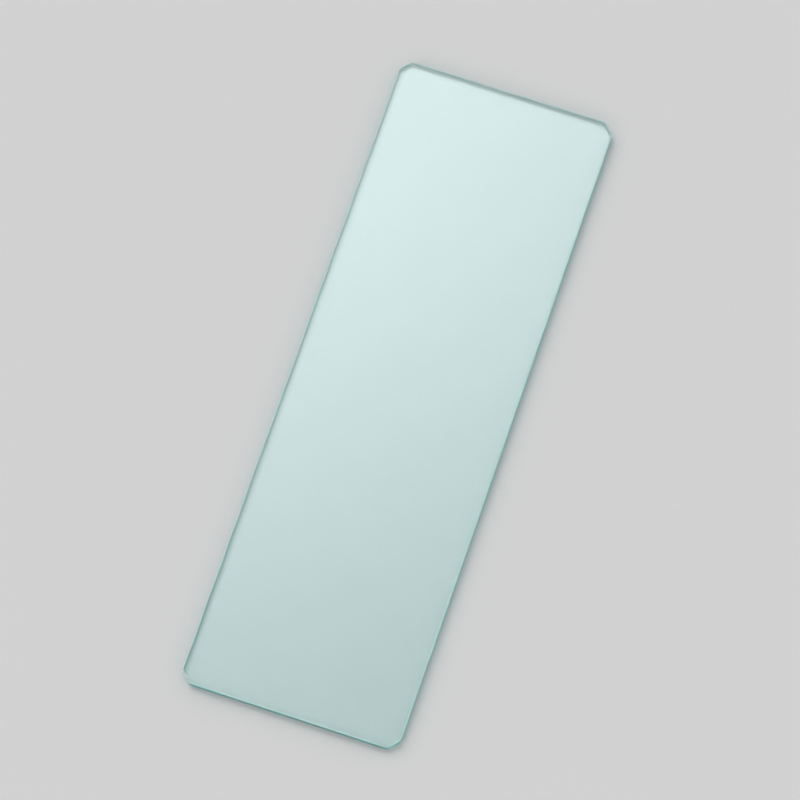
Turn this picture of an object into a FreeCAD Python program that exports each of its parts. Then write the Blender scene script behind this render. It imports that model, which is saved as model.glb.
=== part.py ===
"""A plain glass microscope slide: one pane of glass, with ground edges and cut corners.

The slide lies flat. X runs along its length, Y across its width and Z up through its
thickness, and the origin is the centre of its underside. All sizes are in millimetres.
"""

import FreeCAD
import Part

import os

# The pane
LENGTH = 76.2
WIDTH = 25.4
THICKNESS = 1.1

# What is ground away from it
CORNER_CUT = 1.2  # how far the 45 degree cut at a corner reaches along each side of it
CORNER_ROUNDING = 0.7  # radius between that cut and the long side or the end next to it
ARRIS = 0.15  # width and height of the bevel between a face and the edge around it


def snapped_pane():
    """The rectangle of sheet glass, scored and snapped to size, with every edge sharp."""
    corner = FreeCAD.Vector(-LENGTH / 2, -WIDTH / 2, 0)
    return Part.makeBox(LENGTH, WIDTH, THICKNESS, corner)


def upright_edges(solid):
    """The edges that run through the thickness, at the corners of the outline."""
    return [edge for edge in solid.Edges if edge.BoundBox.ZLength > THICKNESS / 2]


def rim_edges(solid):
    """The edges that run around the top face and around the underside."""
    return [edge for edge in solid.Edges if edge.BoundBox.ZLength < THICKNESS / 2]


def with_cut_corners(solid):
    """Each corner cut off flat at 45 degrees, and both ends of that cut rounded."""
    cut = solid.makeChamfer(CORNER_CUT, upright_edges(solid))
    return cut.makeFillet(CORNER_ROUNDING, upright_edges(cut))


def with_arrises(solid):
    """The sharp rims of both faces bevelled all the way round, corners included."""
    return solid.makeChamfer(ARRIS, rim_edges(solid))


def glass_slide():
    """The finished slide, which is one solid."""
    return with_arrises(with_cut_corners(snapped_pane()))


def main():
    os.makedirs("parts", exist_ok=True)
    glass_slide().exportStep("parts/glass_slide.step")


main()
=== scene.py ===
"""A clear glass microscope slide with ground edges, lying on a pale studio floor.

The slide is one closed glass mesh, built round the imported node's box with the worn line
of a real ground edge. Metres, in the row frame: X along the slide, Z up.
"""

import math

import bpy
from mathutils import Matrix, Vector, noise


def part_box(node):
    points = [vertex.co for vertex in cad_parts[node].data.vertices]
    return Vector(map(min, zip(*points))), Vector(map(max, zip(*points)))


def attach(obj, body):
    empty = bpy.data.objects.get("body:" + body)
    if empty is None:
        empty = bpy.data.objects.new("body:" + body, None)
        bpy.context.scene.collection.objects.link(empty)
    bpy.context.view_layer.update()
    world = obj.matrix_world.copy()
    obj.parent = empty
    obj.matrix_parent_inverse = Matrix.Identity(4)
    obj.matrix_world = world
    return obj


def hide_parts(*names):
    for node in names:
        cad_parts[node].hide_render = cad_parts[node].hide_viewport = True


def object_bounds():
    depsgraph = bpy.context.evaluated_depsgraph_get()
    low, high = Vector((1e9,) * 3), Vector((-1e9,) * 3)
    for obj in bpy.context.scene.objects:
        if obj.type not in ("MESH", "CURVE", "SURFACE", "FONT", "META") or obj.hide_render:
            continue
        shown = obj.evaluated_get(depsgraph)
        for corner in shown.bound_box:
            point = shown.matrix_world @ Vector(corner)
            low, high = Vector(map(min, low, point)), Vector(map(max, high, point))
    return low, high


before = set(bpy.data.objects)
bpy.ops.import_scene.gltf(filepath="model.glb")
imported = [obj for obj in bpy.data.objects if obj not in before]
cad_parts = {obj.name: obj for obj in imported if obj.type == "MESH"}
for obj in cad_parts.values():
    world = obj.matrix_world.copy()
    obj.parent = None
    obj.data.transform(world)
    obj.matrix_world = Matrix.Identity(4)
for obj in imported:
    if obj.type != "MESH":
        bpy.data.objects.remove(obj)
cad_low, cad_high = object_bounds()

MM = 0.001

# The slide, as the part's source has it
LENGTH, WIDTH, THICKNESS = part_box("glass_slide")[1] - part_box("glass_slide")[0]
CORNER_CUT = 1.2 * MM
CORNER_ROUNDING = 0.7 * MM
ARRIS = 0.15 * MM

# How finely it is meshed
STEP = 0.2 * MM  # along the edges
ARC_STEPS = 8  # round each end of a corner's cut

# What grinding leaves on the edge
ARRIS_WANDER = 0.03 * MM  # how far the bevel's inner line strays
EDGE_WANDER = 0.006 * MM  # how far the ground band hollows
LIP = 0.02 * MM  # the bevel's outer line is rounded by this much
HOLLOW_AT = 0.3  # how far below each face the hollow starts, as a share of the thickness

# The lines that stray, each (its place in the noise, how far along the edge a stray lasts)
TOP_LINES = {"depth": (3.7, 5 * MM), "inset": (8.7, 3 * MM), "hollow": (12.7, 4 * MM)}
UNDER_LINES = {"depth": (11.3, 5 * MM), "inset": (16.3, 3 * MM), "hollow": (20.3, 4 * MM)}
MIDDLE_LINE = (21.0, 6 * MM)
COARSE_STRAY = 1.6
FINE_STRAY = 0.5
FINENESS = 3.1  # the fine strays come this many times as often as the coarse ones

# The glass: each pair is what a pattern goes between
FACE_COLOURS = ((0.957, 0.973, 0.966, 1), (0.967, 0.979, 0.972, 1))
# The ground band's green-blue is the glass's own tint, deepened with painted light: the colour light
# takes running along inside the slide, deepest on the ends and paler on the cut corners.
SIDE_TINT_AND_PAINTED_LIGHT = ((0.12, 0.78, 0.76, 1), (0.34, 0.92, 0.90, 1))
END_TINT_AND_PAINTED_LIGHT = ((0.00, 0.62, 0.57, 1), (0.08, 0.76, 0.71, 1))
CUT_TINT_AND_PAINTED_LIGHT = ((0.22, 0.90, 0.80, 1), (0.32, 0.98, 0.88, 1))
# Painted highlight: the bevels are paler than the band, which draws a bright line along each edge.
BEVEL_PAINTED_HIGHLIGHT = (0.70, 0.92, 0.90, 1)
FACE_ROUGHNESS = (0.0, 0.02)
GROUND_ROUGHNESS = (0.30, 0.46)
BAND_CLEARNESS = (0.76, 0.58)  # the share of light that the ground band lets in
BEVEL_CLEARNESS = 0.50  # the same for the bevels and the cut corners
GRAIN = {"Strength": 0.6, "Distance": 0.02 * MM}  # the bumps on ground glass
REFRACTIVE_INDEX = 1.52
# In the body red fades over about 8 mm, and green and blue over about 50 mm
BODY = {"Color": (0.0, 0.84, 0.815, 1), "Density": 120.0}

# The patterns on the glass: about how many marks to a metre, and the part of the noise that counts
STREAKS_PER_METRE = (160, 160, 9000)  # long along the edge and fine up it
BLOTCHES_PER_METRE = 420.0
SMEARS_PER_METRE = 70.0
SMEAR_STRETCH = (1, 2.5, 1)
STREAK_RANGE = (0.3, 0.7)
BLOTCH_RANGE = (0.3, 0.7)
SMEAR_RANGE = (0.3, 0.8)
GRAIN_RANGE = (0.2, 0.8)

# The floor, in rings out to the horizon
FLOOR_GAP = 0.02 * MM
FLOOR_RADII = (0.15, 0.6, 3.0, 15.0, 60.0)
FLOOR_SIDES = 64
FLOOR_COLOUR = 0.662  # in the studio's light as bright as the room, so that no horizon shows

# The studio: an even room and soft panels, each (towards it, strength, full within, gone beyond).
# The slide's face mirrors the first to the camera. From the sides and from above it mirrors the
# last three, and their narrow rims draw a clear line across it.
ROOM = 0.64  # how bright it is
LIGHT_BOUNCES = 64
PANELS = {
    "mirrored": ((0.36, 0.24, 0.90), 4.0, 6, 14),
    "key": ((0.50, 0.75, 0.85), 2.2, 8, 30),
    "left_side": ((-0.73, 0.47, 0.50), 1.1, 11, 13.5),
    "right_side": ((0.79, -0.51, 0.34), 0.6, 11.5, 14),
    "overhead": ((-0.07, 0.05, 1.00), 2.4, 3.5, 5.5),
}

# The camera, as the photograph has it
VIEW_FROM = Vector((-0.255, -0.120, 0.959)).normalized()  # from the slide towards the camera
DISTANCE = 0.613
LEAN = math.radians(19.55)  # how far the slide's length leans from upright in the picture
LENS_MM = 247.5
SENSOR_MM = 36.0


def outline():
    """Points round the slide, counter-clockwise, each with the direction that faces out there."""
    bend = math.pi / 4
    tangent = CORNER_ROUNDING * math.tan(bend / 2)
    side = LENGTH - 2 * (CORNER_CUT + tangent)
    end = WIDTH - 2 * (CORNER_CUT + tangent)
    facet = CORNER_CUT * math.sqrt(2) - 2 * tangent
    place = Vector((-side / 2, -WIDTH / 2))
    heading = 0.0
    points = []
    for run in (side, facet, end, facet) * 2:
        along = Vector((math.cos(heading), math.sin(heading)))
        outward = Vector((along.y, -along.x))
        steps = max(2, round(run / STEP))
        points += [(place + along * run * i / steps, outward) for i in range(steps)]
        place = place + along * run
        centre = place - outward * CORNER_ROUNDING
        for i in range(ARC_STEPS):
            turn = heading - math.pi / 2 + bend * i / ARC_STEPS
            outward = Vector((math.cos(turn), math.sin(turn)))
            points.append((centre + outward * CORNER_ROUNDING, outward))
        heading += bend
        place = centre + Vector((math.sin(heading), -math.cos(heading))) * CORNER_ROUNDING
    return points


def stray(place, seed, reach):
    """A smooth number from -1 to 1 that changes along the edge about once in reach."""
    at = Vector((place.x / reach, place.y / reach, seed))
    coarse = COARSE_STRAY * noise.noise(at)
    fine = FINE_STRAY * noise.noise(at * FINENESS)
    return max(-1.0, min(1.0, coarse + fine))


def hollow_at(place, line):
    """How far the ground band lies inside the slide's outline."""
    return EDGE_WANDER * (1 + stray(place, *line)) / 2


def half_profile(place, lines):
    """The ground edge from one face inwards: (how far in from the rim, how deep below the face)."""
    depth = ARRIS + ARRIS_WANDER * stray(place, *lines["depth"]) / 2
    inset = ARRIS + ARRIS_WANDER * stray(place, *lines["inset"])
    hollow = hollow_at(place, lines["hollow"])
    return [(inset, 0.0), (LIP, depth - LIP), (0.0, depth + LIP), (hollow, HOLLOW_AT * THICKNESS)]


def profile(place):
    """The ground edge at one place, from the top face down: (how far in, how high)."""
    upper = [(inward, THICKNESS - depth) for inward, depth in half_profile(place, TOP_LINES)]
    middle = (hollow_at(place, MIDDLE_LINE), THICKNESS / 2)
    lower = half_profile(place, UNDER_LINES)
    return upper + [middle] + lower[::-1]


def pane_faces(rows, count):
    """The top face, the underside, and then the ground edge row by row from the top."""
    top = tuple(range(count))
    underside = tuple(range(rows * count - 1, (rows - 1) * count - 1, -1))
    faces = [top, underside]
    for row in range(rows - 1):
        upper = row * count
        lower = upper + count
        for i in range(count):
            j = (i + 1) % count
            faces.append((upper + i, lower + i, lower + j, upper + j))
    return faces


def mark_faces(mesh, rows, rim):
    """Mark each face of the pane with how its glass was worked and where painted light goes on it.

    ground is 1 where the glass is ground and 0 where it is polished, and bevel is 1 on the
    bevels, where a pale painted highlight goes. corner goes up to 1 on the cut corners. deep goes
    from 0 on the long sides to 1 on the ends, where the painted colour of light that has come
    the whole length of the slide is deepest.
    """
    marks = {name: [0.0, 0.0] for name in ("ground", "bevel", "corner", "deep")}
    bevel_rows = (0, 1, rows - 3, rows - 2)
    for row in range(rows - 1):
        for _, outward in rim:
            marks["ground"].append(1.0)
            marks["bevel"].append(float(row in bevel_rows))
            marks["corner"].append(abs(2 * outward.x * outward.y))
            marks["deep"].append(outward.x**2)
    for name, values in marks.items():
        mesh.attributes.new(name, "FLOAT", "FACE").data.foreach_set("value", values)


def slide_mesh():
    """The whole pane as one closed mesh."""
    rim = outline()
    rings = [profile(place) for place, _ in rim]
    rows = len(rings[0])
    vertices = [
        (*(place - outward * ring[row][0]), ring[row][1])
        for row in range(rows)
        for (place, outward), ring in zip(rim, rings)
    ]
    mesh = bpy.data.meshes.new("slide_glass")
    mesh.from_pydata(vertices, [], pane_faces(rows, len(rim)))
    mark_faces(mesh, rows, rim)
    mesh.validate()
    return mesh


class Nodes:
    """A short way to write a node tree down."""

    def __init__(self, tree):
        self.tree = tree
        tree.nodes.clear()

    def add(self, kind, inputs=None, **settings):
        """A new node, with a value or another node's output on each input named."""
        node = self.tree.nodes.new(kind)
        for name, value in settings.items():
            setattr(node, name, value)
        for name, value in (inputs or {}).items():
            self.feed(node.inputs[name], value)
        return node

    def feed(self, socket, value):
        """Put a value, or another node's output, on an input."""
        if isinstance(value, bpy.types.NodeSocket):
            self.tree.links.new(value, socket)
        else:
            socket.default_value = value

    def mix(self, share, a, b):
        """a where share is 0 and b where it is 1, for numbers: the node's inputs 2 and 3."""
        node = self.add("ShaderNodeMix", data_type="FLOAT")
        self.feed(node.inputs[0], share)
        self.feed(node.inputs[2], a)
        self.feed(node.inputs[3], b)
        return node.outputs[0]

    def blend(self, share, a, b):
        """The same for colours: the node's inputs 6 and 7."""
        node = self.add("ShaderNodeMix", data_type="RGBA")
        self.feed(node.inputs[0], share)
        self.feed(node.inputs[6], a)
        self.feed(node.inputs[7], b)
        return node.outputs[2]

    def maths(self, operation, a, b=0.0):
        """The result of one sum on two numbers, or on the first alone."""
        node = self.add("ShaderNodeMath", operation=operation)
        self.feed(node.inputs[0], a)
        self.feed(node.inputs[1], b)
        return node.outputs[0]

    def spread(self, value, between, to=(0.0, 1.0), smooth=False):
        """Carry a number from one range over to another, and stop at the second one's ends."""
        kind = "SMOOTHSTEP" if smooth else "LINEAR"
        inputs = {
            "Value": value,
            "From Min": between[0],
            "From Max": between[1],
            "To Min": to[0],
            "To Max": to[1],
        }
        return self.add("ShaderNodeMapRange", inputs, interpolation_type=kind).outputs[0]

    def pattern(self, vector, scale, stretch=(1, 1, 1), roughness=0.5):
        """Noise in the object's own space, finer along the axes with more stretch."""
        mapped = self.add("ShaderNodeMapping", {"Vector": vector, "Scale": stretch})
        inputs = {"Vector": mapped.outputs[0], "Scale": scale, "Detail": 2.0, "Roughness": roughness}
        return self.add("ShaderNodeTexNoise", inputs).outputs["Fac"]


def glass_material():
    """Polished soda-lime glass with a green-blue body, and the same glass where it is ground, whose
    edges carry painted light: the glass's tint deepened as if by light run along inside the slide,
    and a pale painted highlight on the bevels.
    """
    material = bpy.data.materials.new("slide_glass")
    material.use_nodes = True
    nodes = Nodes(material.node_tree)
    place = nodes.add("ShaderNodeTexCoord").outputs["Object"]
    ground, bevel, corner, deep = (
        nodes.add("ShaderNodeAttribute", attribute_name=name).outputs["Fac"]
        for name in ("ground", "bevel", "corner", "deep")
    )
    streaks = nodes.pattern(place, 1.0, STREAKS_PER_METRE, roughness=0.6)
    blotches = nodes.pattern(place, BLOTCHES_PER_METRE)
    smears = nodes.pattern(place, SMEARS_PER_METRE, SMEAR_STRETCH)
    streaked = nodes.spread(streaks, STREAK_RANGE)

    face = nodes.blend(smears, *FACE_COLOURS)
    # Painted light on the ground band: the glass's tint deepened as if by light run along inside the
    # slide, most on the ends.
    side = nodes.blend(streaked, *SIDE_TINT_AND_PAINTED_LIGHT)
    end = nodes.blend(streaked, *END_TINT_AND_PAINTED_LIGHT)
    cut = nodes.blend(streaked, *CUT_TINT_AND_PAINTED_LIGHT)
    band = nodes.blend(corner, nodes.blend(deep, side, end), cut)
    # Painted highlight: a pale line along the bevels.
    edge = nodes.blend(bevel, band, BEVEL_PAINTED_HIGHLIGHT)
    colour = nodes.blend(ground, face, edge)

    face_roughness = nodes.spread(smears, SMEAR_RANGE, FACE_ROUGHNESS)
    edge_roughness = nodes.spread(blotches, BLOTCH_RANGE, GROUND_ROUGHNESS)
    roughness = nodes.mix(ground, face_roughness, edge_roughness)

    band_clearness = nodes.spread(streaked, (0.0, 1.0), BAND_CLEARNESS)
    paler = nodes.maths("MAXIMUM", bevel, corner)
    edge_clearness = nodes.mix(paler, band_clearness, BEVEL_CLEARNESS)
    clearness = nodes.mix(ground, 1.0, edge_clearness)

    grain = nodes.mix(nodes.spread(blotches, GRAIN_RANGE), streaks, blotches)
    bump = nodes.add("ShaderNodeBump", {**GRAIN, "Height": nodes.mix(ground, 0.0, grain)})

    shader = nodes.add("ShaderNodeBsdfPrincipled", {
        "Base Color": colour, "Roughness": roughness, "Transmission Weight": clearness,
        "Normal": bump.outputs[0], "IOR": REFRACTIVE_INDEX,
    })
    body = nodes.add("ShaderNodeVolumeAbsorption", BODY)
    out = nodes.add("ShaderNodeOutputMaterial")
    nodes.feed(out.inputs["Surface"], shader.outputs[0])
    nodes.feed(out.inputs["Volume"], body.outputs[0])
    return material


def make_slide():
    mesh = slide_mesh()
    slide = bpy.data.objects.new("slide_glass", mesh)
    bpy.context.scene.collection.objects.link(slide)
    mesh.materials.append(glass_material())
    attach(slide, "root")
    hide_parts("glass_slide")


def floor_mesh():
    """Rings out to the horizon, so that the part near the slide is finely placed."""
    vertices = [(0.0, 0.0, -FLOOR_GAP)]
    for radius in FLOOR_RADII:
        for i in range(FLOOR_SIDES):
            turn = 2 * math.pi * i / FLOOR_SIDES
            vertices.append((radius * math.cos(turn), radius * math.sin(turn), -FLOOR_GAP))
    faces = [(0, 1 + i, 1 + (i + 1) % FLOOR_SIDES) for i in range(FLOOR_SIDES)]
    for ring in range(len(FLOOR_RADII) - 1):
        inner = 1 + ring * FLOOR_SIDES
        outer = inner + FLOOR_SIDES
        for i in range(FLOOR_SIDES):
            j = (i + 1) % FLOOR_SIDES
            faces.append((inner + i, outer + i, outer + j, inner + j))
    mesh = bpy.data.meshes.new("floor")
    mesh.from_pydata(vertices, [], faces)
    return mesh


def floor_material():
    """A matt pale grey."""
    material = bpy.data.materials.new("floor")
    material.use_nodes = True
    nodes = Nodes(material.node_tree)
    grey = (FLOOR_COLOUR, FLOOR_COLOUR, FLOOR_COLOUR, 1)
    shader = nodes.add("ShaderNodeBsdfDiffuse", {"Color": grey})
    out = nodes.add("ShaderNodeOutputMaterial")
    nodes.feed(out.inputs["Surface"], shader.outputs[0])
    return material


def make_floor():
    mesh = floor_mesh()
    floor = bpy.data.objects.new("floor", mesh)
    bpy.context.scene.collection.objects.link(floor)
    mesh.materials.append(floor_material())


def soft_panel(nodes, way, towards, strength, inner, outer):
    """A panel's light: full within inner degrees of its middle, and none beyond outer degrees."""
    towards = tuple(Vector(towards).normalized())
    near = nodes.add("ShaderNodeVectorMath", {0: way, 1: towards}, operation="DOT_PRODUCT")
    angle = nodes.maths("ARCCOSINE", nodes.maths("MINIMUM", near.outputs["Value"], 1.0))
    rim = (math.radians(outer), math.radians(inner))
    return nodes.spread(angle, rim, (0.0, strength), smooth=True)


def make_world():
    """An even pale room with soft panels."""
    world = bpy.data.worlds.new("studio")
    bpy.context.scene.world = world
    world.use_nodes = True
    world.cycles.sampling_method = "NONE"  # the panels are wide enough for the rays to find them
    nodes = Nodes(world.node_tree)
    way = nodes.add("ShaderNodeTexCoord").outputs["Generated"]
    light = ROOM
    for panel in PANELS.values():
        light = nodes.maths("ADD", soft_panel(nodes, way, *panel), light)
    sky = nodes.add("ShaderNodeBackground", {"Color": (1, 1, 1, 1), "Strength": light})
    out = nodes.add("ShaderNodeOutputWorld")
    nodes.feed(out.inputs["Surface"], sky.outputs[0])


def set_light_paths():
    """Light gets through the pane to the floor and back, and runs along inside it to the edges."""
    cycles = bpy.context.scene.cycles
    cycles.max_bounces = LIGHT_BOUNCES
    cycles.glossy_bounces = LIGHT_BOUNCES
    cycles.transmission_bounces = LIGHT_BOUNCES
    cycles.blur_glossy = 0.0  # reflections seen by way of a rough edge stay as sharp as they are
    cycles.use_adaptive_sampling = False  # the calm faces get as many samples as the edges
    cycles.denoising_input_passes = "RGB"  # the helper passes leave blotches on clear glass


def make_camera():
    """Looks at the slide's middle from where the photographer stood, with the same lean."""
    centre = (cad_low + cad_high) / 2
    data = bpy.data.cameras.new("camera")
    data.lens = LENS_MM
    data.sensor_width = SENSOR_MM
    camera = bpy.data.objects.new("camera", data)
    bpy.context.scene.collection.objects.link(camera)
    back = VIEW_FROM
    lengthwise = (Vector((1, 0, 0)) - back * back.x).normalized()  # the slide's length, as seen
    crosswise = lengthwise.cross(back)
    up = lengthwise * math.cos(LEAN) - crosswise * math.sin(LEAN)
    turn = Matrix((up.cross(back), up, back)).transposed()
    camera.matrix_world = Matrix.Translation(centre + back * DISTANCE) @ turn.to_4x4()
    bpy.context.scene.camera = camera


make_slide()
make_floor()
make_world()
set_light_paths()
make_camera()
bpy.context.scene.view_settings.view_transform = "Standard"
